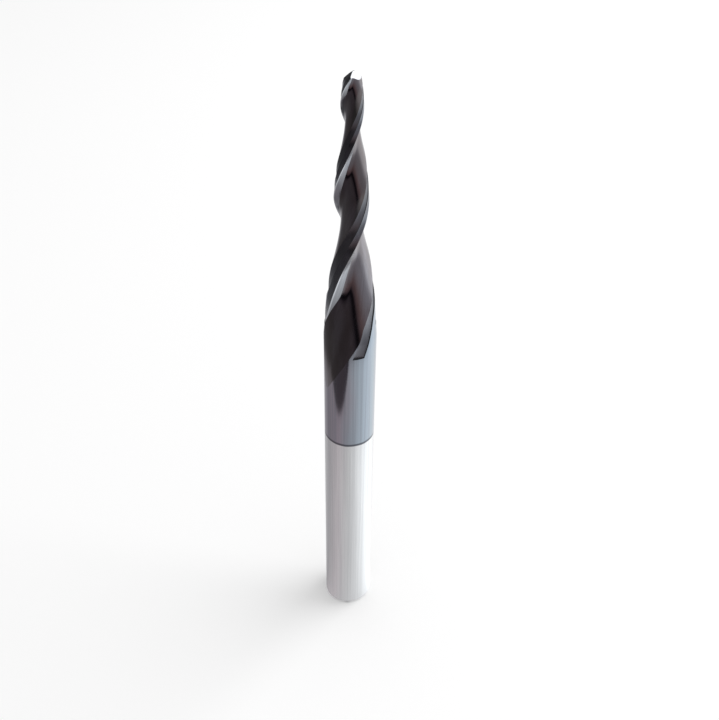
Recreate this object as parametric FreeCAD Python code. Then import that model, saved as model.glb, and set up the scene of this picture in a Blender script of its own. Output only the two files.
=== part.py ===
"""Two-flute tapered ball-nose milling cutter, ground from one carbide rod.

The rod stands on its shank end: origin at the centre of that end face, +Z up the
axis to the ball tip. Everything is cut from one turned blank, in the order in
which a tool grinder makes it: blank, flutes, land reliefs, end gashes.

Sections are drawn in polar form. The angle 0 of a section is the cutting edge,
positive angles lead into the flute in front of it, negative angles run back over
the land behind it. Distances s are measured down the axis from the tip.
"""
import FreeCAD, Part
import math
import os

# Blank, in mm.
OVERALL_LENGTH = 75.0
SHANK_DIAMETER = 6.0
BALL_RADIUS = 1.0
TAPER_LENGTH = 30.5
SHANK_CHAMFER = 0.4

# Helix of the two cutting edges, in degrees. The helix angle falls evenly from
# the tip to the end of the taper. The azimuth is that of one edge at the end of
# the taper, counted from +X towards +Y.
TEETH = 2
HELIX_AT_TIP = 28.0
HELIX_AT_TAPER_END = 20.5
EDGE_AZIMUTH_AT_TAPER_END = 179.5

# How many degrees the real edge lies off that even helix, at distances from the tip.
EDGE_OFFSETS = (
    (0.0, -13.0),
    (3.0, -12.0),
    (6.0, -8.0),
    (9.0, -0.5),
    (12.0, 2.5),
    (15.0, -3.0),
    (18.0, -9.5),
    (21.0, -12.0),
    (24.0, -7.0),
    (27.0, -1.5),
    (30.5, 0.0),
)

# Flute section, in shares of the local radius. The rake face goes inward from the
# edge and leans into the flute. From its foot the floor drops to the web, then
# climbs to the heel.
RAKE_LEAN = 24.0
RAKE_HEIGHT = 0.40
WEB_RATIO = 0.54
WEB_ANGLE = 44.0
HEEL_ANGLE = 137.0
HEEL_RATIO = 0.972

# Run-out of the flute, where the grinding wheel leaves the shank, in mm. The two
# curves are the wheel's own, in mm per square radian, before and behind the
# deepest line, which swings away from the edge by so many degrees per mm.
RUN_OUT_START = 24.8
RUN_OUT_END = 37.6
RUN_OUT_FRONT_CURVE = 0.45
RUN_OUT_BACK_CURVE = 0.60
RUN_OUT_SWING = 2.5
RUN_OUT_BLEND = 0.12
EXIT_SLOPE_SHARE = 0.15

# Land behind each edge: a narrow primary relief, then a deeper secondary one. Near
# the run-out the step between them moves back by STEP_SHIFT degrees.
PRIMARY_ANGLE = 12.0
PRIMARY_WIDTH = 21.0
PRIMARY_END = 29.0
STEP_SHIFT = 24.0
SHIFT_START = 23.0
SHIFT_END = 28.0
SECONDARY_WIDTH = 27.0
SECONDARY_STEP = 0.03
SECONDARY_HEEL_RATIO = 0.95
SECONDARY_END = 32.2

# End gash at the ball: its floor falls steeply away from the edge and gently
# along it. The centre web is left between the two gashes, in mm.
GASH_FLOOR_ANGLE = 49.0
GASH_LINE_ANGLE = 23.0
GASH_CENTRE_WEB = 0.06
GASH_REACH = 3.0 * BALL_RADIUS

# How far cutting sections reach past the blank, as a share of the local radius, and
# past the cutting edge, in degrees.
OUTSIDE = 0.35
EDGE_OVERLAP = 1.0
FRONT_OVERLAP = 5.0

# Spacing of the sections: degrees of twist from one to the next, fewest steps of a
# stretch, places over the ball in shares of its height, and points of the floor.
SECTION_TWIST = 14.0
FEWEST_STEPS = 4
BALL_SHARES = (0.02, 0.06, 0.14, 0.27, 0.45, 0.7)
FLOOR_STEPS_IN_FRONT = 3
FLOOR_STEPS_BEHIND = 5
HALVINGS = 60

SHANK_RADIUS = SHANK_DIAMETER / 2.0
FIRST_SECTION = -1.2 * BALL_RADIUS


def taper_angle():
    """Half angle of the cone that touches the ball and ends at the shank radius."""
    low, high = 0.0, math.radians(60.0)
    for _ in range(HALVINGS):
        middle = (low + high) / 2.0
        reach = BALL_RADIUS / math.cos(middle) + (TAPER_LENGTH - BALL_RADIUS) * math.tan(middle)
        if reach < SHANK_RADIUS:
            low = middle
        else:
            high = middle
    return (low + high) / 2.0


TAPER = taper_angle()
CONE_SLOPE = math.tan(TAPER)
CONE_AT_TIP = BALL_RADIUS / math.cos(TAPER) - BALL_RADIUS * CONE_SLOPE
BALL_TANGENT = BALL_RADIUS * (1.0 - math.sin(TAPER))


def cone_radius(s):
    """Radius of the cone or shank at s, with the cone carried on past the tip."""
    return min(CONE_AT_TIP + CONE_SLOPE * s, SHANK_RADIUS)


def blank_radius(s):
    """Radius of the turned blank at s, ball included."""
    if s >= BALL_TANGENT:
        return cone_radius(s)
    return math.sqrt(max(s * (2.0 * BALL_RADIUS - s), 0.0))


def edge_offset(s):
    """Smooth curve through EDGE_OFFSETS, level before the first and past the last."""
    count = len(EDGE_OFFSETS)
    place = min(max(s, EDGE_OFFSETS[0][0]), EDGE_OFFSETS[-1][0])
    k = 0
    while k < count - 2 and place > EDGE_OFFSETS[k + 1][0]:
        k += 1
    (s0, low), (s1, high) = EDGE_OFFSETS[k], EDGE_OFFSETS[k + 1]
    span = s1 - s0
    slopes = [0.0, 0.0]
    for side, j in enumerate((k, k + 1)):
        if 0 < j < count - 1:
            before, after = EDGE_OFFSETS[j - 1], EDGE_OFFSETS[j + 1]
            slopes[side] = (after[1] - before[1]) / (after[0] - before[0])
    x = (place - s0) / span
    rise = x * x * (3.0 - 2.0 * x)
    bend = x * (1.0 - x) * ((1.0 - x) * slopes[0] - x * slopes[1]) * span
    return math.radians(low + (high - low) * rise + bend)


def edge_azimuth(s):
    """Azimuth of the cutting edge at s: the helix angle's tangent over the radius,
    added up along the cone, then along the plain shank, and the edge's offset."""
    start = math.tan(math.radians(HELIX_AT_TIP))
    fall = (math.tan(math.radians(HELIX_AT_TAPER_END)) - start) / TAPER_LENGTH

    def turned(x):
        on_cone = min(x, TAPER_LENGTH)
        past = max(x, TAPER_LENGTH) - TAPER_LENGTH
        log_part = (start - fall * CONE_AT_TIP / CONE_SLOPE) / CONE_SLOPE
        cone = fall * on_cone / CONE_SLOPE + log_part * math.log(CONE_AT_TIP + CONE_SLOPE * on_cone)
        return cone + (start + fall * (TAPER_LENGTH + past / 2.0)) * past / SHANK_RADIUS

    even = math.radians(EDGE_AZIMUTH_AT_TAPER_END) - turned(s) + turned(TAPER_LENGTH)
    return even + edge_offset(s)


def point(s, radius, angle):
    """A point of the section at s, its angle in radians from the cutting edge."""
    azimuth = edge_azimuth(s) + angle
    return FreeCAD.Vector(radius * math.cos(azimuth), radius * math.sin(azimuth), OVERALL_LENGTH - s)


def stations(first, last):
    """Places along the axis between which the edge turns by SECTION_TWIST."""
    turn = edge_azimuth(first) - edge_azimuth(last)
    count = max(int(math.ceil(turn / math.radians(SECTION_TWIST))), FEWEST_STEPS)
    places = []
    for k in range(count + 1):
        wanted = edge_azimuth(first) - turn * k / count
        low, high = first, last
        for _ in range(HALVINGS):
            middle = (low + high) / 2.0
            if edge_azimuth(middle) > wanted:
                low = middle
            else:
                high = middle
        places.append((low + high) / 2.0)
    return places


def line(start, end):
    return Part.LineSegment(start, end).toShape()


def arc(start, middle, end):
    return Part.Arc(start, middle, end).toShape()


def make_blank():
    """Ball, cone, shank and end chamfer, turned about the axis."""
    top = OVERALL_LENGTH
    tip = FreeCAD.Vector(0, 0, top)
    half = (math.pi / 2.0 + TAPER) / 2.0
    on_ball = FreeCAD.Vector(BALL_RADIUS * math.cos(half), 0, top - BALL_RADIUS + BALL_RADIUS * math.sin(half))
    tangent = FreeCAD.Vector(BALL_RADIUS * math.cos(TAPER), 0, top - BALL_TANGENT)
    corners = [
        tangent,
        FreeCAD.Vector(SHANK_RADIUS, 0, top - TAPER_LENGTH),
        FreeCAD.Vector(SHANK_RADIUS, 0, SHANK_CHAMFER),
        FreeCAD.Vector(SHANK_RADIUS - SHANK_CHAMFER, 0, 0),
        FreeCAD.Vector(0, 0, 0),
        tip,
    ]
    edges = [arc(tip, on_ball, tangent)]
    edges += [line(a, b) for a, b in zip(corners, corners[1:])]
    profile = Part.Face(Part.Wire(edges))
    return profile.revolve(FreeCAD.Vector(0, 0, 0), FreeCAD.Vector(0, 0, 1), 360)


def flute_depth(s):
    """Depth of the flute under the local radius: a fixed share of it, until the
    wheel leaves along a curve that is nearly tangent to the shank."""
    full = (1.0 - WEB_RATIO) * cone_radius(s)
    left = (RUN_OUT_END - s) / (RUN_OUT_END - RUN_OUT_START)
    start = (1.0 - WEB_RATIO) * cone_radius(RUN_OUT_START)
    leaving = start * ((1.0 - EXIT_SLOPE_SHARE) * left * abs(left) + EXIT_SLOPE_SHARE * left)
    return (full + leaving - math.hypot(full - leaving, RUN_OUT_BLEND)) / 2.0


def run_out_share(s):
    """0 where the flute is still at full depth, 1 from the end of the taper on."""
    done = (s - RUN_OUT_START) / (TAPER_LENGTH - RUN_OUT_START)
    return min(max(done, 0.0), 1.0)


def rake_foot():
    """Foot of the rake face in the section: its angle and its share of the radius."""
    lean = math.radians(RAKE_LEAN)
    x = 1.0 - RAKE_HEIGHT * math.cos(lean)
    y = RAKE_HEIGHT * math.sin(lean)
    return math.atan2(y, x), math.hypot(x, y)


def floor_law(s):
    """Deepest radius and angle of the floor, and its curves before and behind it."""
    done = run_out_share(s)
    radius = cone_radius(s)
    web = math.radians(WEB_ANGLE)
    foot_angle, foot_ratio = rake_foot()
    front = (foot_ratio - WEB_RATIO) / (web - foot_angle) ** 2
    back = (HEEL_RATIO - WEB_RATIO) / math.radians(HEEL_ANGLE - WEB_ANGLE) ** 2
    front_curve = front * radius * (1.0 - done) + RUN_OUT_FRONT_CURVE * done
    back_curve = back * radius * (1.0 - done) + RUN_OUT_BACK_CURVE * done
    deepest = web + math.radians(RUN_OUT_SWING) * max(s - RUN_OUT_START, 0.0)
    return radius - flute_depth(s), deepest, front_curve, back_curve


def flute_section(s):
    """Closed wire of the flute: rake face, floor climbing to the heel, outer arc."""
    radius = cone_radius(s)
    outer = (1.0 + OUTSIDE) * radius
    bottom, deepest, front_curve, back_curve = floor_law(s)
    lean = math.radians(RAKE_LEAN)

    def floor(angle):
        curve = front_curve if angle < deepest else back_curve
        return bottom + curve * (angle - deepest) ** 2

    def rake(angle):
        return radius * math.sin(lean) / math.sin(angle + lean)

    foot, above = rake_angle_at(outer / radius), deepest
    for _ in range(HALVINGS):
        middle = (foot + above) / 2.0
        if rake(middle) > floor(middle):
            foot = middle
        else:
            above = middle
    last = deepest + math.sqrt((outer - bottom) / back_curve)
    top = rake_angle_at(outer / radius)
    angles = [foot + (deepest - foot) * k / FLOOR_STEPS_IN_FRONT for k in range(FLOOR_STEPS_IN_FRONT)]
    angles += [deepest + (last - deepest) * k / FLOOR_STEPS_BEHIND for k in range(FLOOR_STEPS_BEHIND + 1)]
    floor_points = [point(s, floor(angle), angle) for angle in angles]
    wall_top = point(s, outer, top)
    floor_curve = Part.BSplineCurve()
    floor_curve.interpolate(floor_points)
    return Part.Wire([
        line(wall_top, floor_points[0]),
        floor_curve.toShape(),
        arc(floor_points[-1], point(s, outer, (last + top) / 2.0), wall_top),
    ])


def rake_angle_at(ratio):
    """Angle at which the line of the rake face reaches a ratio of the radius."""
    lean = math.radians(RAKE_LEAN)
    return math.asin(math.sin(lean) / ratio) - lean


def flat_ratio(angle):
    """Radius ratio of the primary relief at an angle from the edge."""
    slope = math.radians(PRIMARY_ANGLE)
    return math.cos(slope) / math.cos(math.radians(EDGE_OVERLAP) - angle - slope)


def primary_back(s):
    """Angle at which the primary relief ends and the step to the secondary stands."""
    done = min(max((s - SHIFT_START) / (SHIFT_END - SHIFT_START), 0.0), 1.0)
    return -math.radians(PRIMARY_WIDTH + STEP_SHIFT * done * done * (3.0 - 2.0 * done))


def land_section(s, with_primary):
    """Closed wire over a land: reliefs from front to heel, closed outside the blank."""
    radius = blank_radius(s)
    outer = (1.0 + OUTSIDE) * radius
    back = primary_back(s)
    heel = back - math.radians(SECONDARY_WIDTH)
    step_ratio = flat_ratio(-math.radians(PRIMARY_WIDTH)) - SECONDARY_STEP
    front = back
    corners = []
    if with_primary:
        front = math.radians(FRONT_OVERLAP)
        corners = [point(s, flat_ratio(front) * radius, front), point(s, flat_ratio(back) * radius, back)]
    corners += [
        point(s, step_ratio * radius, back),
        point(s, SECONDARY_HEEL_RATIO * radius, heel),
        point(s, outer, heel),
    ]
    start = point(s, outer, front)
    edges = [line(a, b) for a, b in zip([start] + corners, corners)]
    edges.append(arc(corners[-1], point(s, outer, (front + heel) / 2.0), start))
    return Part.Wire(edges)


def land_voids():
    """What the reliefs grind away: both of them up to the abrupt end of the primary
    one, then the secondary one alone, which ends on the shank."""
    over_ball = [BALL_TANGENT * share for share in BALL_SHARES]
    stretches = [
        (over_ball + stations(BALL_TANGENT, SHIFT_START), True),
        (stations(SHIFT_START, PRIMARY_END), True),
        (stations(PRIMARY_END, TAPER_LENGTH), False),
        (stations(TAPER_LENGTH, SECONDARY_END), False),
    ]
    return [Part.makeLoft([land_section(s, both) for s in places], True, False)
            for places, both in stretches]


def flute_voids():
    """What one flute grinds away, from above the tip to past its run-out: one loft
    for each stretch on which the section changes smoothly."""
    breaks = [FIRST_SECTION, RUN_OUT_START, TAPER_LENGTH, RUN_OUT_END + BALL_RADIUS]
    return [Part.makeLoft([flute_section(s) for s in stations(first, last)], True, False)
            for first, last in zip(breaks, breaks[1:])]


def gash_void():
    """Wedge at the tip: an upright rake wall on the edge, and a floor falling away."""
    direction = edge_azimuth(BALL_TANGENT / 2.0)
    along = FreeCAD.Vector(math.cos(direction), math.sin(direction), 0)
    across = FreeCAD.Vector(-math.sin(direction), math.cos(direction), 0)
    up = FreeCAD.Vector(0, 0, 1)
    line_fall = math.tan(math.radians(GASH_LINE_ANGLE))
    floor_fall = math.tan(math.radians(GASH_FLOOR_ANGLE))
    vee = FreeCAD.Vector(0, 0, OVERALL_LENGTH) + across * (GASH_CENTRE_WEB / 2.0)
    start = vee - (along - up * line_fall) * BALL_RADIUS
    wall_top = start + up * (2.0 * GASH_REACH)
    far_top = wall_top + across * GASH_REACH
    far_floor = start + (across - up * floor_fall) * GASH_REACH
    outline = Part.makePolygon([start, wall_top, far_top, far_floor, start])
    return Part.Face(outline).extrude((along - up * line_fall) * GASH_REACH)


def around(shape):
    """The same cut for every tooth."""
    copies = []
    for k in range(TEETH):
        turned = shape.copy()
        turned.rotate(FreeCAD.Vector(0, 0, 0), FreeCAD.Vector(0, 0, 1), 360.0 * k / TEETH)
        copies.append(turned)
    return copies


def make_cutter():
    cutter = make_blank()
    for void in flute_voids() + land_voids() + [gash_void()]:
        for copy in around(void):
            cutter = cutter.cut(copy)
    return cutter


os.makedirs("parts", exist_ok=True)
cutter = make_cutter()
solid = cutter.Solids[0]
print("solids", len(cutter.Solids), "valid", solid.isValid(), "volume", round(solid.Volume, 3))
solid.exportStep("parts/tapered_ball_nose_cutter.step")
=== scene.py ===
"""Looks of the two-flute tapered ball-nose milling cutter.

The cutter is one ground piece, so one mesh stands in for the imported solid. It is made
by the same cuts from the same sizes, at a finer step. Lengths are in millimetres until
a mesh is written, and angles in radians unless a name says degrees.
"""
import math

import bmesh
import bpy
import numpy as np
from mathutils import Matrix, Vector


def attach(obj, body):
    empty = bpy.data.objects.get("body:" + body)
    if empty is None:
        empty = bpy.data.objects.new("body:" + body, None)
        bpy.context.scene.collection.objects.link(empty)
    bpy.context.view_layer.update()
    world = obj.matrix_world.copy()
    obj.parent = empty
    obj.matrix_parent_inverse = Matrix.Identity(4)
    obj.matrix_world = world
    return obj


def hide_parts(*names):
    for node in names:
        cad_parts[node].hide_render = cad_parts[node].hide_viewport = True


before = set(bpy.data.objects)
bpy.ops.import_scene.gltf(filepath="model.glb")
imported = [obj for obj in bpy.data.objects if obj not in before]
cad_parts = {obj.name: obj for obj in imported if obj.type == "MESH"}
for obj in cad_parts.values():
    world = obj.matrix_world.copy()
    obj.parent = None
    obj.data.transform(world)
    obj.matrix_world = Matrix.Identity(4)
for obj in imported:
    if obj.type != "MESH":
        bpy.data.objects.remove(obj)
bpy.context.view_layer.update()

# Rod: one piece of sintered tungsten carbide, ground round between a ball tip, a slender
# cone and a plain shank, with a small chamfer at the end that it stands on.
# Places along the axis, s, are counted down from the tip.
MM = 0.001
OVERALL_LENGTH = 75.0
SHANK_RADIUS = 3.0
BALL_RADIUS = 1.0
TAPER_LENGTH = 30.5
SHANK_CHAMFER = 0.4
ROD_COLUMNS = 288
BALL_ROWS = 40
CONE_ROWS = 100
SHANK_ROWS = 40
STEEPEST_TAPER = math.radians(60.0)
TAPER_HALVINGS = 60
DOUBLES_WITHIN = 1e-8


def taper_angle():
    """Half angle of the cone that touches the ball and ends at the shank's radius,
    found by halving the range that holds it."""
    low, high = 0.0, STEEPEST_TAPER
    for _ in range(TAPER_HALVINGS):
        middle = (low + high) / 2.0
        reach = BALL_RADIUS / math.cos(middle) + (TAPER_LENGTH - BALL_RADIUS) * math.tan(middle)
        if reach < SHANK_RADIUS:
            low = middle
        else:
            high = middle
    return (low + high) / 2.0


TAPER = taper_angle()
CONE_SLOPE = math.tan(TAPER)
CONE_AT_TIP = BALL_RADIUS / math.cos(TAPER) - BALL_RADIUS * CONE_SLOPE
BALL_TANGENT = BALL_RADIUS * (1.0 - math.sin(TAPER))


def cone_radius(s):
    """Straight rise of the cone's radius with s, up to the shank's radius."""
    return np.minimum(CONE_AT_TIP + CONE_SLOPE * s, SHANK_RADIUS)


def rod_radius(s):
    """A circle's height over its chord on the ball, and the cone or shank below it."""
    ball = np.sqrt(np.maximum(s * (2.0 * BALL_RADIUS - s), 0.0))
    return np.where(s < BALL_TANGENT, ball, cone_radius(s))


def around_axis(s, radius, azimuth):
    """Points at a radius and azimuth round the axis, at the depth s under the tip."""
    height = OVERALL_LENGTH - s + 0.0 * radius
    return np.stack([radius * np.cos(azimuth), radius * np.sin(azimuth), height], axis=-1)


def ring_quads(rows, columns):
    """Corner numbers of the quads of a grid whose last column joins its first."""
    row = np.arange(rows - 1)[:, None] * columns
    column = np.arange(columns)[None, :]
    after = (column + 1) % columns
    corners = [row + column, row + after, row + columns + after, row + columns + column]
    return np.stack(corners, axis=-1).reshape(-1, 4)


def mesh_object(name, points, faces):
    """A closed mesh in metres, with its doubles merged and its faces turned outwards."""
    mesh = bpy.data.meshes.new(name)
    mesh.from_pydata((points.reshape(-1, 3) * MM).tolist(), [], faces.tolist())
    work = bmesh.new()
    work.from_mesh(mesh)
    bmesh.ops.remove_doubles(work, verts=work.verts, dist=DOUBLES_WITHIN)
    bmesh.ops.recalc_face_normals(work, faces=work.faces)
    work.to_mesh(mesh)
    work.free()
    thing = bpy.data.objects.new(name, mesh)
    bpy.context.scene.collection.objects.link(thing)
    return thing


def turned_rod():
    """The rod's outline, carried round the axis."""
    on_ball = BALL_RADIUS * (1.0 - np.cos(np.linspace(0.0, math.pi / 2.0 - TAPER, BALL_ROWS)))
    on_cone = np.linspace(BALL_TANGENT, TAPER_LENGTH, CONE_ROWS)[1:]
    on_shank = np.linspace(TAPER_LENGTH, OVERALL_LENGTH - SHANK_CHAMFER, SHANK_ROWS)[1:]
    s = np.concatenate([on_ball, on_cone, on_shank])
    radius = np.concatenate([rod_radius(s), [SHANK_RADIUS - SHANK_CHAMFER, 0.0]])
    s = np.concatenate([s, [OVERALL_LENGTH, OVERALL_LENGTH]])
    azimuth = np.arange(ROD_COLUMNS) * 2.0 * math.pi / ROD_COLUMNS
    points = around_axis(s[:, None], radius[:, None] + 0.0 * azimuth, azimuth[None, :])
    return mesh_object("tapered_cutter_body", points, ring_quads(len(s), ROD_COLUMNS))


# Flutes: two helical grooves, ground by a wheel that leaves the shank on a long curve.
# A section is drawn in polar form, with the angle 0 at the cutting edge, positive angles
# into the flute in front of it and negative ones back over the land.
TOOTH_TURNS = (0.0, math.pi)
HELIX_AT_TIP = math.radians(28.0)
HELIX_AT_TAPER_END = math.radians(20.5)
EDGE_AZIMUTH_AT_TAPER_END = math.radians(179.5)
EDGE_OFFSET_PLACES = np.array([0.0, 3.0, 6.0, 9.0, 12.0, 15.0, 18.0, 21.0, 24.0, 27.0, 30.5])
EDGE_OFFSETS = np.radians([-13.0, -12.0, -8.0, -0.5, 2.5, -3.0, -9.5, -12.0, -7.0, -1.5, 0.0])
RAKE_LEAN = math.radians(24.0)
RAKE_HEIGHT = 0.40
WEB_RATIO = 0.54
WEB_ANGLE = math.radians(44.0)
HEEL_ANGLE = math.radians(137.0)
HEEL_RATIO = 0.972
RUN_OUT_START = 24.8
RUN_OUT_END = 37.6
RUN_OUT_FRONT_CURVE = 0.45
RUN_OUT_BACK_CURVE = 0.60
RUN_OUT_SWING = math.radians(2.5)
RUN_OUT_BLEND = 0.12
EXIT_SLOPE_SHARE = 0.15
OUTSIDE = 0.35
FLUTE_START = -1.2
ROW_STEP = 0.14
WALL_COLUMNS = 5
FRONT_COLUMNS = 12
BACK_COLUMNS = 30
FOOT_HALVINGS = 40


def edge_offset(s):
    """Smooth curve through the edge's offsets, level before the first and past the last."""
    places, offsets = EDGE_OFFSET_PLACES, EDGE_OFFSETS
    slopes = np.zeros(len(places))
    slopes[1:-1] = (offsets[2:] - offsets[:-2]) / (places[2:] - places[:-2])
    place = np.clip(s, places[0], places[-1])
    k = np.clip(np.searchsorted(places, place) - 1, 0, len(places) - 2)
    span = places[k + 1] - places[k]
    x = (place - places[k]) / span
    rise = x * x * (3.0 - 2.0 * x)
    bend = x * (1.0 - x) * ((1.0 - x) * slopes[k] - x * slopes[k + 1]) * span
    return offsets[k] + (offsets[k + 1] - offsets[k]) * rise + bend


def edge_azimuth(s):
    """The helix angle's tangent over the radius, added up along the cone and the shank,
    with the edge's offset. Counted from +X towards +Y, for the first tooth."""
    start = math.tan(HELIX_AT_TIP)
    fall = (math.tan(HELIX_AT_TAPER_END) - start) / TAPER_LENGTH
    log_part = (start - fall * CONE_AT_TIP / CONE_SLOPE) / CONE_SLOPE

    def turned(x):
        on_cone = np.minimum(x, TAPER_LENGTH)
        past = np.maximum(x, TAPER_LENGTH) - TAPER_LENGTH
        cone = fall * on_cone / CONE_SLOPE + log_part * np.log(CONE_AT_TIP + CONE_SLOPE * on_cone)
        return cone + (start + fall * (TAPER_LENGTH + past / 2.0)) * past / SHANK_RADIUS

    return EDGE_AZIMUTH_AT_TAPER_END - turned(s) + turned(TAPER_LENGTH) + edge_offset(s)


def flute_depth(s):
    """A fixed share of the radius, blended into a curve that leaves the shank gently."""
    full = (1.0 - WEB_RATIO) * cone_radius(s)
    left = (RUN_OUT_END - s) / (RUN_OUT_END - RUN_OUT_START)
    start = (1.0 - WEB_RATIO) * cone_radius(RUN_OUT_START)
    leaving = start * ((1.0 - EXIT_SLOPE_SHARE) * left * np.abs(left) + EXIT_SLOPE_SHARE * left)
    return (full + leaving - np.hypot(full - leaving, RUN_OUT_BLEND)) / 2.0


def floor_law(s):
    """Deepest radius and angle of the floor, and its curves in front of and behind it."""
    done = np.clip((s - RUN_OUT_START) / (TAPER_LENGTH - RUN_OUT_START), 0.0, 1.0)
    x = 1.0 - RAKE_HEIGHT * math.cos(RAKE_LEAN)
    y = RAKE_HEIGHT * math.sin(RAKE_LEAN)
    front = (math.hypot(x, y) - WEB_RATIO) / (WEB_ANGLE - math.atan2(y, x)) ** 2
    back = (HEEL_RATIO - WEB_RATIO) / (HEEL_ANGLE - WEB_ANGLE) ** 2
    front_curve = front * cone_radius(s) * (1.0 - done) + RUN_OUT_FRONT_CURVE * done
    back_curve = back * cone_radius(s) * (1.0 - done) + RUN_OUT_BACK_CURVE * done
    deepest = WEB_ANGLE + RUN_OUT_SWING * np.maximum(s - RUN_OUT_START, 0.0)
    return cone_radius(s) - flute_depth(s), deepest, front_curve, back_curve


def floor_radius(angle, s):
    """A parabola over the angle from the deepest line, steeper on one side of it."""
    bottom, deepest, front_curve, back_curve = floor_law(s)
    curve = np.where(angle < deepest, front_curve, back_curve)
    return bottom + curve * (angle - deepest) ** 2


def rake_radius(angle, s):
    """Polar form of the straight rake face, which leans into the flute from the edge."""
    return cone_radius(s) * math.sin(RAKE_LEAN) / np.sin(angle + RAKE_LEAN)


def flute_section(s):
    """Angles and inner radii for a column of places: down the rake face to its foot,
    found by halving, over the deepest line and out along the floor's back."""
    bottom, deepest, _, back_curve = floor_law(s)
    outer = (1.0 + OUTSIDE) * cone_radius(s)
    top = math.asin(math.sin(RAKE_LEAN) / (1.0 + OUTSIDE)) - RAKE_LEAN
    foot, above = np.full(s.shape, top), deepest + 0.0 * s
    for _ in range(FOOT_HALVINGS):
        middle = (foot + above) / 2.0
        over_floor = rake_radius(middle, s) > floor_radius(middle, s)
        foot = np.where(over_floor, middle, foot)
        above = np.where(over_floor, above, middle)
    last = deepest + np.sqrt((outer - bottom) / back_curve)
    wall = top + (foot - top) * np.linspace(0.0, 1.0, WALL_COLUMNS, endpoint=False)
    front = foot + (deepest - foot) * np.linspace(0.0, 1.0, FRONT_COLUMNS, endpoint=False)
    back = deepest + (last - deepest) * np.linspace(0.0, 1.0, BACK_COLUMNS)
    floor = np.concatenate([front, back], axis=1)
    radius = np.concatenate([rake_radius(wall, s), floor_radius(floor, s)], axis=1)
    return np.concatenate([wall, floor], axis=1), radius, outer


def ground_away(name, section, places, turn):
    """What one pass of the wheel takes off: each section runs out along its inner line
    and back along an arc outside the rod, and the sections follow the helix."""
    s = places[:, None]
    angle, inner, outer = section(s)
    azimuth = edge_azimuth(s) + angle + turn
    loop_radius = np.concatenate([inner, outer + 0.0 * inner], axis=1)
    loop_azimuth = np.concatenate([azimuth, azimuth[:, ::-1]], axis=1)
    loop = loop_radius.shape[1]
    k = np.arange(loop // 2 - 1)
    cap = np.stack([k, k + 1, loop - 2 - k, loop - 1 - k], axis=1)
    sides = ring_quads(len(places), loop)
    faces = np.concatenate([sides, cap, cap + (len(places) - 1) * loop])
    return mesh_object(name, around_axis(s, loop_radius, loop_azimuth), faces)


def cut(body, void):
    """Take the void away from the body, and the void out of the scene."""
    modifier = body.modifiers.new("cut", "BOOLEAN")
    modifier.operation = "DIFFERENCE"
    modifier.solver = "EXACT"
    modifier.object = void
    bpy.context.view_layer.update()
    graph = bpy.context.evaluated_depsgraph_get()
    result = bpy.data.meshes.new_from_object(body.evaluated_get(graph), depsgraph=graph)
    body.modifiers.clear()
    old = body.data
    body.data = result
    bpy.data.meshes.remove(old)
    bpy.data.objects.remove(void)


cutter = turned_rod()
flute_places = np.arange(FLUTE_START, RUN_OUT_END + 1.0, ROW_STEP)
for turn in TOOTH_TURNS:
    cut(cutter, ground_away("flute", flute_section, flute_places, turn))


# Lands: behind each edge the rod is ground back twice, by a narrow primary relief that
# stops short and a deeper secondary one that runs out on the shank. Near the run-out the
# step between the two moves back from the edge.
PRIMARY_ANGLE = math.radians(12.0)
PRIMARY_WIDTH = math.radians(21.0)
PRIMARY_END = 29.0
STEP_SHIFT = math.radians(24.0)
SHIFT_START = 23.0
SHIFT_END = 28.0
SECONDARY_WIDTH = math.radians(27.0)
SECONDARY_STEP = 0.03
SECONDARY_HEEL_RATIO = 0.95
SECONDARY_END = 32.2
EDGE_OVERLAP = math.radians(1.0)
FRONT_OVERLAP = math.radians(5.0)
BACK_OVERLAP = math.radians(3.0)
RELIEF_COLUMNS = 8
BALL_SHARES = np.array([0.004, 0.012, 0.03, 0.06, 0.1, 0.16, 0.24, 0.34, 0.46, 0.6, 0.75, 0.88])


def flat_ratio(angle):
    """Polar form, in shares of the radius, of a flat that falls away behind the edge."""
    return math.cos(PRIMARY_ANGLE) / np.cos(EDGE_OVERLAP - angle - PRIMARY_ANGLE)


def step_angle(s):
    """Angle of the step between the reliefs, with an eased shift near the run-out."""
    done = np.clip((s - SHIFT_START) / (SHIFT_END - SHIFT_START), 0.0, 1.0)
    return -(PRIMARY_WIDTH + STEP_SHIFT * done * done * (3.0 - 2.0 * done))


def primary_section(s):
    """The flat from just in front of the edge to just behind the step."""
    back = step_angle(s) - BACK_OVERLAP
    angle = back + (FRONT_OVERLAP - back) * np.linspace(0.0, 1.0, RELIEF_COLUMNS)
    return angle, flat_ratio(angle) * rod_radius(s), (1.0 + OUTSIDE) * rod_radius(s)


def secondary_section(s):
    """Polar form of the straight line from the foot of the step to the heel."""
    back = step_angle(s)
    heel = back - SECONDARY_WIDTH
    step_ratio = float(flat_ratio(-PRIMARY_WIDTH)) - SECONDARY_STEP
    first_x, first_y = step_ratio * np.cos(back), step_ratio * np.sin(back)
    across_x = SECONDARY_HEEL_RATIO * np.cos(heel) - first_x
    across_y = SECONDARY_HEEL_RATIO * np.sin(heel) - first_y
    angle = heel + SECONDARY_WIDTH * np.linspace(0.0, 1.0, RELIEF_COLUMNS)
    distance = across_x * first_y - across_y * first_x
    ratio = distance / (across_x * np.sin(angle) - across_y * np.cos(angle))
    return angle, ratio * rod_radius(s), (1.0 + OUTSIDE) * rod_radius(s)


def relief_places(last):
    """Places close together over the ball, then evenly down to the relief's end."""
    below = np.linspace(BALL_TANGENT, last, int((last - BALL_TANGENT) / ROW_STEP))
    return np.concatenate([BALL_TANGENT * BALL_SHARES, below])


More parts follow.
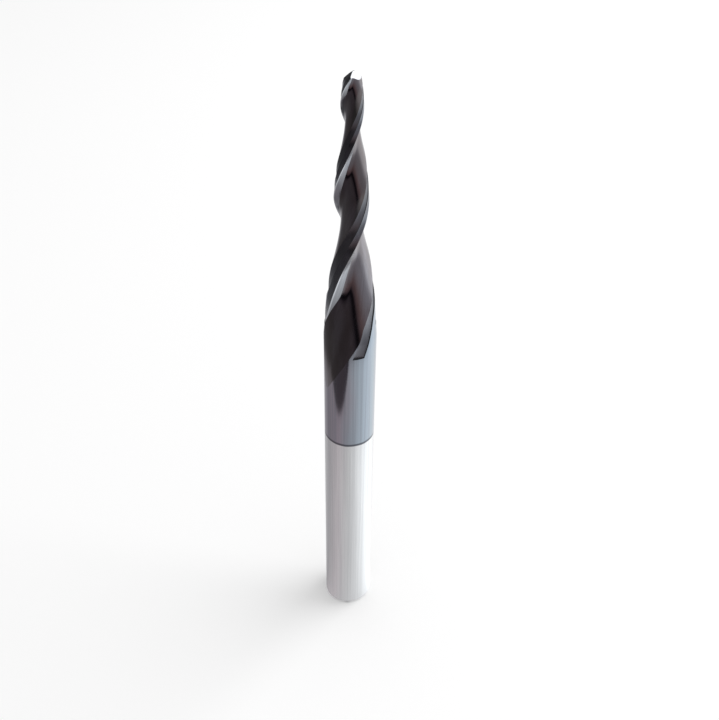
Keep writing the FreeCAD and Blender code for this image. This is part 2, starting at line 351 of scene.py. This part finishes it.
for turn in TOOTH_TURNS:
    cut(cutter, ground_away("primary", primary_section, relief_places(PRIMARY_END), turn))
    cut(cutter, ground_away("secondary", secondary_section, relief_places(SECONDARY_END), turn))


# End gashes: a notch per tooth that brings its edge to the middle of the ball. A wheel
# cuts it as a wedge, with an upright wall on the edge and a floor that falls away.
GASH_FLOOR_ANGLE = math.radians(49.0)
GASH_LINE_ANGLE = math.radians(23.0)
GASH_CENTRE_WEB = 0.06
GASH_REACH = 3.0 * BALL_RADIUS


def end_gash(turn):
    """A wedge's four corners, carried along the line where its wall meets its floor."""
    direction = float(edge_azimuth(BALL_TANGENT / 2.0)) + turn
    along = np.array([math.cos(direction), math.sin(direction), 0.0])
    across = np.array([-math.sin(direction), math.cos(direction), 0.0])
    up = np.array([0.0, 0.0, 1.0])
    fall = along - up * math.tan(GASH_LINE_ANGLE)
    start = up * OVERALL_LENGTH + across * (GASH_CENTRE_WEB / 2.0) - fall * BALL_RADIUS
    wall_top = start + up * (2.0 * GASH_REACH)
    far_top = wall_top + across * GASH_REACH
    far_floor = start + (across - up * math.tan(GASH_FLOOR_ANGLE)) * GASH_REACH
    near = np.array([start, wall_top, far_top, far_floor])
    ends = [(0, 1, 2, 3), (4, 7, 6, 5)]
    sides = [(0, 4, 5, 1), (1, 5, 6, 2), (2, 6, 7, 3), (3, 7, 4, 0)]
    corners = np.concatenate([near, near + fall * GASH_REACH])
    return mesh_object("gash", corners, np.array(ends + sides))


for turn in TOOTH_TURNS:
    cut(cutter, end_gash(turn))


# Surfaces of the finished tool: each pass of a wheel leaves one of its own, with its own
# marks, and meets its neighbours in sharp lines. Every face is given to the surface it
# lies on, and the skin is unrolled along the helix so that marks can follow it.
ON_SURFACE = 0.004
LAND_REACH = 1.2
NO_SURFACE = 1000.0
GASH_DEPTH = 1.6
SHARP = math.radians(25.0)

# Numbers of the surfaces, in the order in which their finishes are added.
GROUND, FLUTE, RAKE, PRIMARY, SECONDARY, GASH = range(6)


def along_helix(points):
    """Place under the tip, radius, and angle from the nearest edge, from 0 to pi."""
    s = OVERALL_LENGTH - points[:, 2]
    azimuth = np.arctan2(points[:, 1], points[:, 0])
    return s, np.hypot(points[:, 0], points[:, 1]), (azimuth - edge_azimuth(s)) % math.pi


def surface_of(centres):
    """Number of the surface whose radius, at the face's place and angle, is nearest.
    A face near none of them is on the secondary relief or, by the tip, on an end gash."""
    s, radius, angle = along_helix(centres)
    behind = angle - math.pi
    rake = np.where(angle < floor_law(s)[1], rake_radius(angle, s), NO_SURFACE)
    on_flat = (behind > -LAND_REACH) & (s < PRIMARY_END)
    off_flat = np.abs(radius - flat_ratio(behind) * rod_radius(s))
    miss = {
        GROUND: np.abs(radius - rod_radius(s)),
        FLUTE: np.abs(radius - floor_radius(angle, s)),
        RAKE: np.abs(radius - rake) * math.sin(RAKE_LEAN),
        PRIMARY: np.where(on_flat, off_flat, NO_SURFACE),
    }
    misses = np.stack([miss[number] for number in (GROUND, FLUTE, RAKE, PRIMARY)])
    surface = np.argmin(misses, axis=0)
    loose = np.min(misses, axis=0) > ON_SURFACE
    surface = np.where(loose & (s < SECONDARY_END + ON_SURFACE), SECONDARY, surface)
    return np.where(loose & (s < GASH_DEPTH), GASH, surface)


def read_numbers(items, key, width, kind=float):
    """One attribute of all items as an array, with a row for each item."""
    numbers = np.zeros(len(items) * width, kind)
    items.foreach_get(key, numbers)
    return numbers.reshape(-1, width) if width > 1 else numbers


def unroll(mesh, centres):
    """U is the angle from the edge over pi, V the share of the length under the tip.
    A face's corners all count from the same edge."""
    points = read_numbers(mesh.vertices, "co", 3) / MM
    corner_point = read_numbers(mesh.loops, "vertex_index", 1, np.int32)
    corners = read_numbers(mesh.polygons, "loop_total", 1, np.int32)
    corner_face = np.repeat(np.arange(len(corners)), corners)
    s, _, angle = along_helix(points)
    face_angle = along_helix(centres)[2][corner_face]
    turned = angle[corner_point]
    turned = turned - np.round((turned - face_angle) / math.pi) * math.pi
    layer = mesh.uv_layers.new(name="unrolled")
    uv = np.stack([turned / math.pi, s[corner_point] / OVERALL_LENGTH], axis=1)
    layer.data.foreach_set("uv", uv.ravel().astype(np.float32))


def part_surfaces(mesh):
    """Material numbers, the unrolled skin, and sharp lines where surfaces meet."""
    centres = read_numbers(mesh.polygons, "center", 3) / MM
    mesh.polygons.foreach_set("material_index", surface_of(centres).astype(np.int32))
    mesh.polygons.foreach_set("use_smooth", np.ones(len(mesh.polygons), bool))
    unroll(mesh, centres)
    work = bmesh.new()
    work.from_mesh(mesh)
    for edge in work.edges:
        sides = {face.material_index for face in edge.link_faces}
        edge.smooth = len(sides) == 1 and edge.calc_face_angle(0.0) < SHARP
    work.to_mesh(mesh)
    work.free()


# Finish: a hard nitride coat, a few micrometres thick, covers the tool from the tip to a
# little below the run-outs and ends in a darker line. Below it the carbide is bare and
# bright. Grinding marks show through, along and round the rod and along the helix.
COAT_END = 45.3
COAT_FADE = 0.03
RAGGEDNESS = 0.25
LINE_WIDTH = 0.42
LINE_CORE = 0.24
LINE_LIFT = 0.1
LINE_STRENGTH = 0.75
LINE_COLOUR = (0.05, 0.05, 0.06)
# The coat's own purple tint, and a lighter blue that is a painted sheen on the side towards the lamp.
COAT_SHEEN_BLUE = (0.305, 0.345, 0.385)
COAT_PURPLE = (0.32, 0.295, 0.33)
COAT_MARKS = (0.22, 0.235, 0.265)
BARE_METAL = (0.74, 0.74, 0.735)
METAL_MARKS = (0.60, 0.60, 0.605)
METAL_CLOUDS = (0.62, 0.615, 0.61)
ROD_CLOUDS = (420.0, 420.0, 70.0)
ROD_LINES = (5200.0, 5200.0, 45.0)
ROD_RINGS = (120.0, 120.0, 16000.0)
RING_DEPTH = 0.0015
# Span across the rod over which the painted sheen turns the coat from purple to blue.
COAT_SHEEN_SIDES = (0.1, 0.9)
COAT_MARKS_SHOW = (0.40, 0.68, 0.0, 0.45)
METAL_MARKS_SHOW = (0.38, 0.66, 0.0, 0.5)
METAL_CLOUDS_SHOW = (0.40, 0.66, 0.0, 0.3)
METAL_ROUGHNESS = 0.12
COAT_ROUGHNESS = 0.02
LINES_ROUGHNESS = 0.10
RINGS_ROUGHNESS = 0.05
WHEEL_CLOUDS = (500.0, 500.0, 110.0)
WHEEL_TINTS = (0.36, 0.64)
WHEEL_MARKS_SHOW = (0.38, 0.66, 0.0, 0.5)
MARKS_ROUGHNESS = 0.14
# A lighter line along the cutting edge: the coat wearing thin there, and a painted edge highlight
# standing in for the light a honed edge catches.
EDGE_WEAR_AND_HIGHLIGHT_COLOUR = (0.62, 0.63, 0.65)
EDGE_WEAR_AND_HIGHLIGHT_STRENGTH = 0.7
EDGE_WEAR_AND_HIGHLIGHT_CORE = 0.004
EDGE_WEAR_AND_HIGHLIGHT_WIDTH = 0.012
BUMP_STRENGTH = 0.35

# Name, light tint, dark tint, roughness, stretch of the marks over the unrolled skin, their
# depth, and where the lighter line along the cutting edge lies, for coat that wears thin
# there and a painted edge highlight: 0.0 on the face in front of an edge, 1.0 on the land
# behind it.
WHEEL_SURFACES = (
    ("flute_floor", (0.27, 0.255, 0.27), (0.17, 0.15, 0.15), 0.12, (110.0, 7.0, 1.0), 0.003, None),
    ("rake_face", (0.29, 0.295, 0.31), (0.21, 0.21, 0.225), 0.15, (260.0, 8.0, 1.0), 0.003, 0.0),
    ("primary_land", (0.25, 0.26, 0.28), (0.15, 0.15, 0.165), 0.27, (420.0, 8.0, 1.0), 0.002, 1.0),
    ("secondary_land", (0.20, 0.20, 0.215), (0.13, 0.13, 0.14), 0.36, (420.0, 8.0, 1.0), 0.002, None),
    ("end_gash", (0.38, 0.39, 0.41), (0.32, 0.32, 0.34), 0.2, (90.0, 90.0, 1.0), 0.002, None),
)


class Finish:
    """A finish under construction: short calls that place and link its nodes."""

    def __init__(self, name):
        self.material = bpy.data.materials.new(name)
        self.material.use_nodes = True
        self.tree = self.material.node_tree
        self.shader = self.tree.nodes["Principled BSDF"]
        self.output = self.tree.nodes["Material Output"]

    def node(self, kind, **values):
        made = self.tree.nodes.new(kind)
        for key, value in values.items():
            setattr(made, key, value)
        return made

    def feed(self, socket, value):
        if isinstance(value, bpy.types.NodeSocket):
            self.tree.links.new(value, socket)
        elif isinstance(value, tuple) and socket.type == "RGBA":
            socket.default_value = value + (1.0,)
        else:
            socket.default_value = value

    def result(self, kind, inputs, output=0, **values):
        made = self.node(kind, **values)
        for key, value in inputs.items():
            self.feed(made.inputs[key], value)
        return made.outputs[output]

    def math(self, operation, first, second=0.0):
        return self.result("ShaderNodeMath", {0: first, 1: second}, operation=operation)

    def ease(self, value, start, end, low=0.0, high=1.0):
        """From low to high along a smooth S, while the value goes from start to end."""
        inputs = dict(enumerate((value, start, end, low, high)))
        return self.result("ShaderNodeMapRange", inputs, interpolation_type="SMOOTHSTEP")

    def mix(self, share, first, second):
        return self.result("ShaderNodeMix", {0: share, 6: first, 7: second}, 2, data_type="RGBA")

    def place(self):
        return self.node("ShaderNodeTexCoord").outputs["Object"]

    def skin(self):
        return self.node("ShaderNodeUVMap", uv_map="unrolled").outputs[0]

    def axes(self, vector):
        split = self.node("ShaderNodeSeparateXYZ")
        self.feed(split.inputs[0], vector)
        return split.outputs

    def streaks(self, vector, scale, detail=3.0, roughness=0.55):
        """Noise that is long on the axes where the scale is small."""
        stretched = self.result("ShaderNodeMapping", {"Vector": vector, "Scale": scale})
        inputs = {"Vector": stretched, "Scale": 1.0, "Detail": detail, "Roughness": roughness}
        return self.result("ShaderNodeTexNoise", inputs)

    def finish_with(self, colour, roughness, relief, depth):
        """Metal of that colour and roughness, with relief as bumps of that depth in mm."""
        shader = self.shader
        shader.inputs["Metallic"].default_value = 1.0
        self.feed(shader.inputs["Base Color"], colour)
        self.feed(shader.inputs["Roughness"], roughness)
        bump = {"Strength": BUMP_STRENGTH, "Distance": depth * MM, "Height": relief}
        self.feed(shader.inputs["Normal"], self.result("ShaderNodeBump", bump))
        return self.material


def rod_finish():
    """Coat and bare metal of the rod: fine lines along it, faint rings round it."""
    finish = Finish("coated_ground_rod")
    place = finish.place()
    along_x, _, height = finish.axes(place)
    cloud = finish.streaks(place, ROD_CLOUDS, detail=4.0)
    lines = finish.streaks(place, ROD_LINES, detail=3.0, roughness=0.6)
    rings = finish.streaks(place, ROD_RINGS, detail=2.0)
    # The coat turns from purple on the left to a lighter blue on the right, the side towards the
    # lamp: a painted sheen over the coat's own tint, blotched by the clouds.
    side = finish.math("ADD", finish.math("MULTIPLY", along_x, 1.0 / (SHANK_RADIUS * MM)), cloud)
    coat = finish.mix(finish.ease(side, *COAT_SHEEN_SIDES), COAT_PURPLE, COAT_SHEEN_BLUE)
    coat = finish.mix(finish.ease(lines, *COAT_MARKS_SHOW), coat, COAT_MARKS)
    metal = finish.mix(finish.ease(lines, *METAL_MARKS_SHOW), BARE_METAL, METAL_MARKS)
    metal = finish.mix(finish.ease(cloud, *METAL_CLOUDS_SHOW), metal, METAL_CLOUDS)
    end = (OVERALL_LENGTH - COAT_END) * MM
    ragged = finish.math("MULTIPLY", finish.math("SUBTRACT", cloud, 0.5), RAGGEDNESS * MM)
    edge = finish.math("ADD", height, ragged)
    coated = finish.ease(edge, end - COAT_FADE * MM, end + COAT_FADE * MM)
    near = finish.math("ABSOLUTE", finish.math("SUBTRACT", edge, end + LINE_LIFT * MM))
    line = finish.ease(near, LINE_CORE / 2.0 * MM, LINE_WIDTH / 2.0 * MM, LINE_STRENGTH, 0.0)
    colour = finish.mix(line, finish.mix(coated, metal, coat), LINE_COLOUR)
    along = finish.math("MULTIPLY", lines, LINES_ROUGHNESS)
    rough = finish.math("ADD", along, finish.math("MULTIPLY", rings, RINGS_ROUGHNESS))
    base = finish.ease(coated, 0.0, 1.0, METAL_ROUGHNESS, COAT_ROUGHNESS)
    return finish.finish_with(colour, finish.math("ADD", rough, base), rings, RING_DEPTH)


def wheel_finish(name, light, dark, rough, marks, depth, wear_and_highlight_edge):
    """Coat over one ground surface: marks run along the helix, the tint drifts slowly,
    and where the edge's place is given a lighter line runs along the cutting edge: the coat
    wears thin there, and the line is a painted edge highlight as well."""
    finish = Finish(name)
    skin = finish.skin()
    cloud = finish.streaks(finish.place(), WHEEL_CLOUDS, detail=4.0)
    lines = finish.streaks(skin, marks, detail=5.0, roughness=0.7)
    colour = finish.mix(finish.ease(cloud, *WHEEL_TINTS), dark, light)
    colour = finish.mix(finish.ease(lines, *WHEEL_MARKS_SHOW), colour, dark)
    rough_lines = finish.math("MULTIPLY", lines, MARKS_ROUGHNESS)
    rough_marks = finish.math("ADD", rough_lines, rough - MARKS_ROUGHNESS / 2.0)
    # Lighter line along the edge: coat wear, and a painted edge highlight.
    if wear_and_highlight_edge is not None:
        from_edge = finish.math("ABSOLUTE", finish.math("SUBTRACT", finish.axes(skin)[0], wear_and_highlight_edge))
        wear_and_highlight_line = finish.ease(from_edge, EDGE_WEAR_AND_HIGHLIGHT_CORE, EDGE_WEAR_AND_HIGHLIGHT_WIDTH, EDGE_WEAR_AND_HIGHLIGHT_STRENGTH, 0.0)
        colour = finish.mix(wear_and_highlight_line, colour, EDGE_WEAR_AND_HIGHLIGHT_COLOUR)
    return finish.finish_with(colour, rough_marks, lines, depth)


cutter.data.materials.append(rod_finish())
for surface in WHEEL_SURFACES:
    cutter.data.materials.append(wheel_finish(*surface))
part_surfaces(cutter.data)
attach(cutter, "root")
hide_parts("tapered_ball_nose_cutter")


# Floor: plain and pale. What mirror-like metal sees of it is a painted reflection, from a glow
# of the floor's own: pale close by, up to the straight edge of a painted dark panel on the
# left, and farther off painted shade on the camera's side and a painted bright pool towards
# the lamp on the right.
FLOOR_HALF = 3000.0
FLOOR_DROP = 0.02
FLOOR_COLOUR = (0.86, 0.86, 0.86)
FLOOR_LIFT = 0.10
# Where a painted dark panel starts in what metal sees of the floor: painted shade, with no panel in
# the scene.
PAINTED_PANEL_AZIMUTH = math.radians(-46.0)
PAINTED_PANEL_DISTANCE = 42.0
PAINTED_PANEL_BLUR = 1.0
NEAR_DISTANCE = 54.0
FAR_DISTANCE = 64.0
# How brightly the floor glows for metal with its painted reflection tones.
PAINTED_REFLECTION_STRENGTH = 1.6

# Painted tones that metal sees in the floor, by the azimuth round the tool in degrees: 0 towards
# the camera, 90 to its right.
NEAR_FLOOR_PAINTED_TONES = (
    (-180, (0.80, 0.80, 0.82)),
    (-151, (0.62, 0.62, 0.64)),
    (-108, (0.42, 0.41, 0.43)),
    (-50, (0.62, 0.58, 0.61)),
    (-7, (0.66, 0.66, 0.68)),
    (36, (0.93, 0.95, 0.98)),
    (83, (1.40, 1.45, 1.50)),
    (119, (1.45, 1.48, 1.50)),
    (151, (1.10, 1.10, 1.12)),
    (180, (0.80, 0.80, 0.82)),
)
FAR_FLOOR_PAINTED_TONES = (
    (-180, (0.80, 0.80, 0.82)),
    (-150, (0.55, 0.55, 0.57)),
    (-126, (0.18, 0.18, 0.19)),
    (-90, (0.15, 0.145, 0.15)),
    (-50, (0.11, 0.10, 0.11)),
    (-18, (0.11, 0.095, 0.105)),
    (-9, (0.06, 0.05, 0.06)),
    (-5, (0.012, 0.01, 0.014)),
    (3, (0.012, 0.01, 0.014)),
    (8, (0.14, 0.10, 0.11)),
    (17, (0.26, 0.18, 0.18)),
    (30, (0.36, 0.31, 0.33)),
    (46, (0.44, 0.43, 0.47)),
    (66, (0.52, 0.53, 0.58)),
    (78, (0.75, 0.78, 0.84)),
    (90, (1.30, 1.38, 1.45)),
    (112, (1.50, 1.55, 1.60)),
    (140, (1.20, 1.22, 1.25)),
    (180, (0.80, 0.80, 0.82)),
)


def by_azimuth(finish, share, stops):
    """The stops' colour at that share of the full turn, blended evenly between stops."""
    ramp = finish.node("ShaderNodeValToRGB")
    finish.feed(ramp.inputs[0], share)
    while len(ramp.color_ramp.elements) < len(stops):
        ramp.color_ramp.elements.new(0.5)
    for element, (degrees, colour) in zip(ramp.color_ramp.elements, stops):
        element.position = degrees / 360.0 + 0.5
        element.color = tuple(c / PAINTED_REFLECTION_STRENGTH for c in colour) + (1.0,)
    return ramp.outputs[0]


def painted_floor_reflection(finish):
    """Painted reflection tones: near and far colours that the azimuth round the tool picks,
    parted by distance and by the straight edge of the painted dark panel."""
    x, y, _ = finish.axes(finish.place())
    azimuth = finish.math("ARCTAN2", x, finish.math("MULTIPLY", y, -1.0))
    share = finish.math("ADD", finish.math("DIVIDE", azimuth, 2.0 * math.pi), 0.5)
    across_x = finish.math("MULTIPLY", x, math.sin(PAINTED_PANEL_AZIMUTH))
    across_y = finish.math("MULTIPLY", y, -math.cos(PAINTED_PANEL_AZIMUTH))
    across = finish.math("ADD", across_x, across_y)
    panel_start, panel_end = (PAINTED_PANEL_DISTANCE - PAINTED_PANEL_BLUR) * MM, (PAINTED_PANEL_DISTANCE + PAINTED_PANEL_BLUR) * MM
    painted_panel_shade = finish.ease(across, panel_start, panel_end)
    squares = finish.math("ADD", finish.math("MULTIPLY", x, x), finish.math("MULTIPLY", y, y))
    far = finish.ease(finish.math("SQRT", squares), NEAR_DISTANCE * MM, FAR_DISTANCE * MM)
    parted = finish.math("MAXIMUM", painted_panel_shade, far)
    near_colour = by_azimuth(finish, share, NEAR_FLOOR_PAINTED_TONES)
    return finish.mix(parted, near_colour, by_azimuth(finish, share, FAR_FLOOR_PAINTED_TONES))


def pale_floor():
    """Matte, with a little light of its own for the camera, and for metal a glow in painted
    reflection tones.
    """
    finish = Finish("pale_floor")
    rays = finish.node("ShaderNodeLightPath").outputs
    matte = finish.result("ShaderNodeBsdfDiffuse", {"Color": FLOOR_COLOUR})
    lift = finish.math("MULTIPLY", rays["Is Camera Ray"], FLOOR_LIFT)
    lifted = finish.result("ShaderNodeEmission", {"Strength": lift})
    seen = finish.result("ShaderNodeAddShader", {0: matte, 1: lifted})
    # For metal the floor glows with the painted reflection tones, in place of its lit matte look.
    colour = painted_floor_reflection(finish)
    painted_reflection = finish.result("ShaderNodeEmission", {"Color": colour, "Strength": PAINTED_REFLECTION_STRENGTH})
    floor = finish.result("ShaderNodeMixShader", {0: rays["Is Glossy Ray"], 1: seen, 2: painted_reflection})
    finish.feed(finish.output.inputs["Surface"], floor)
    finish.tree.nodes.remove(finish.shader)
    return finish.material


floor_mesh = bpy.data.meshes.new("floor")
floor_x = (-FLOOR_HALF, FLOOR_HALF, FLOOR_HALF, -FLOOR_HALF)
floor_y = (-FLOOR_HALF, -FLOOR_HALF, FLOOR_HALF, FLOOR_HALF)
floor_corners = [(x * MM, y * MM, -FLOOR_DROP * MM) for x, y in zip(floor_x, floor_y)]
floor_mesh.from_pydata(floor_corners, [], [(0, 1, 2, 3)])
floor_mesh.materials.append(pale_floor())
floor = bpy.data.objects.new("floor", floor_mesh)
bpy.context.scene.collection.objects.link(floor)


# Light: a soft lamp on the right, low enough for the end gash to mirror it, and a pale
# world, which metal sees dimmer on the left. The lamp's power is in watts.
KEY_PLACE = (415.0, 151.0, 310.0)
KEY_SIZE = 550.0
KEY_POWER = 1.7
AIR_STRENGTH = 0.80
MIRRORED_AIR = {"From Min": -0.3, "From Max": 0.9, "To Min": 0.10, "To Max": 1.0}


def soft_lamp(name, place, size, power):
    """A round lamp of that size, aimed at the tip."""
    data = bpy.data.lights.new(name, "AREA")
    data.shape = "DISK"
    data.size = size * MM
    data.energy = power
    lamp = bpy.data.objects.new(name, data)
    bpy.context.scene.collection.objects.link(lamp)
    lamp.location = [c * MM for c in place]
    aim = Vector((0.0, 0.0, OVERALL_LENGTH * MM)) - lamp.location
    lamp.rotation_mode = "QUATERNION"
    lamp.rotation_quaternion = aim.to_track_quat("-Z", "Y")


def pale_air():
    """Even and pale for the camera and for matte surfaces. What metal mirrors rises in a
    straight line with the direction's x, from dim on the left to bright on the right."""
    made = bpy.data.worlds.new("studio")
    made.use_nodes = True
    air = made.node_tree
    backdrop = air.nodes["Background"]
    backdrop.inputs["Strength"].default_value = AIR_STRENGTH
    direction = air.nodes.new("ShaderNodeSeparateXYZ")
    air.links.new(air.nodes.new("ShaderNodeTexCoord").outputs["Generated"], direction.inputs[0])
    brighter_right = air.nodes.new("ShaderNodeMapRange")
    for key, value in MIRRORED_AIR.items():
        brighter_right.inputs[key].default_value = value
    air.links.new(direction.outputs[0], brighter_right.inputs["Value"])
    mirrored_air = air.nodes.new("ShaderNodeMix")
    mirrored_air.inputs[2].default_value = 1.0
    rays = air.nodes.new("ShaderNodeLightPath").outputs
    air.links.new(rays["Is Glossy Ray"], mirrored_air.inputs[0])
    air.links.new(brighter_right.outputs[0], mirrored_air.inputs[3])
    air.links.new(mirrored_air.outputs[0], backdrop.inputs["Color"])
    return made


soft_lamp("key", KEY_PLACE, KEY_SIZE, KEY_POWER)
bpy.context.scene.world = pale_air()


# Camera: where the photograph was taken from, worked out from the tool's outline in it.
# Its focal length is in pixels, of which the photograph's long side has 720.
CAMERA_PLACE = (0.0, -88.97, 110.98)
CAMERA_YAW = math.radians(0.712)
CAMERA_PITCH = math.radians(38.376)
CAMERA_ROLL = math.radians(0.969)
FOCAL_PIXELS = 984.0
PHOTO_LONG_SIDE = 720.0
SENSOR_WIDTH = 36.0
NEAREST_SEEN = 1.0
FARTHEST_SEEN = 20000.0


def make_camera():
    """Forward from yaw and pitch, then right and up turned by the roll about it."""
    forward = np.array([
        math.sin(CAMERA_YAW) * math.cos(CAMERA_PITCH),
        math.cos(CAMERA_YAW) * math.cos(CAMERA_PITCH),
        -math.sin(CAMERA_PITCH),
    ])
    level = np.array([math.cos(CAMERA_YAW), -math.sin(CAMERA_YAW), 0.0])
    lifted = np.cross(level, forward)
    right = math.cos(CAMERA_ROLL) * level + math.sin(CAMERA_ROLL) * lifted
    up = -math.sin(CAMERA_ROLL) * level + math.cos(CAMERA_ROLL) * lifted
    data = bpy.data.cameras.new("camera")
    data.sensor_width = SENSOR_WIDTH
    data.sensor_fit = "AUTO"
    data.lens = SENSOR_WIDTH * FOCAL_PIXELS / PHOTO_LONG_SIDE
    data.clip_start = NEAREST_SEEN * MM
    data.clip_end = FARTHEST_SEEN * MM
    camera = bpy.data.objects.new("camera", data)
    bpy.context.scene.collection.objects.link(camera)
    turn = Matrix((right, up, -forward)).transposed().to_4x4()
    camera.matrix_world = Matrix.Translation([c * MM for c in CAMERA_PLACE]) @ turn
    bpy.context.scene.camera = camera


make_camera()
bpy.context.scene.view_settings.view_transform = "Standard"
